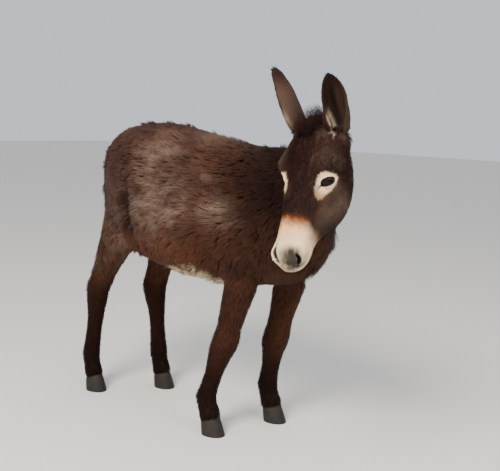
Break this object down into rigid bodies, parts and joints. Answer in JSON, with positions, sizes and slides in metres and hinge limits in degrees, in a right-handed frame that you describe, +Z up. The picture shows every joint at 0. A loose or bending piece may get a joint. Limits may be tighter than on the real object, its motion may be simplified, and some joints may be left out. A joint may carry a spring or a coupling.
{
  "type": "donkey",
  "caption": "Life-size still model of a young woolly brown donkey with a pale muzzle, standing square on its hooves with its head turned to its right.",
  "frame": {"origin": "on the floor, at the middle of the model's box from above", "axes": "+X forward along the trunk, +Y to the animal's left, +Z up"},
  "size_m": [1.3012, 0.5912, 1.2171],
  "materials": {
    "coat": "long woolly hair, dark brown, lighter on the flank and ribs",
    "dark_coat": "near black hair on the lower legs, mane and tail tuft",
    "hoof": "dark grey horn with fine growth rings",
    "eye": "wet, glossy, very dark brown"
  },
  "bodies": {
    "root": {"trunk": "coat", "neck": "coat", "head": "coat", "ear_left": "coat", "ear_right": "coat", "tail": "coat", "forearm_fore_left": "coat", "forearm_fore_right": "coat", "thigh_hind_left": "coat", "thigh_hind_right": "coat", "mane": "dark_coat", "forelock": "dark_coat", "tail_switch": "dark_coat", "cannon_fore_left": "dark_coat", "cannon_fore_right": "dark_coat", "cannon_hind_left": "dark_coat", "cannon_hind_right": "dark_coat", "hoof_fore_left": "hoof", "hoof_fore_right": "hoof", "hoof_hind_left": "hoof", "hoof_hind_right": "hoof", "eye_left": "eye", "eye_right": "eye"}
  },
  "joints": []
}
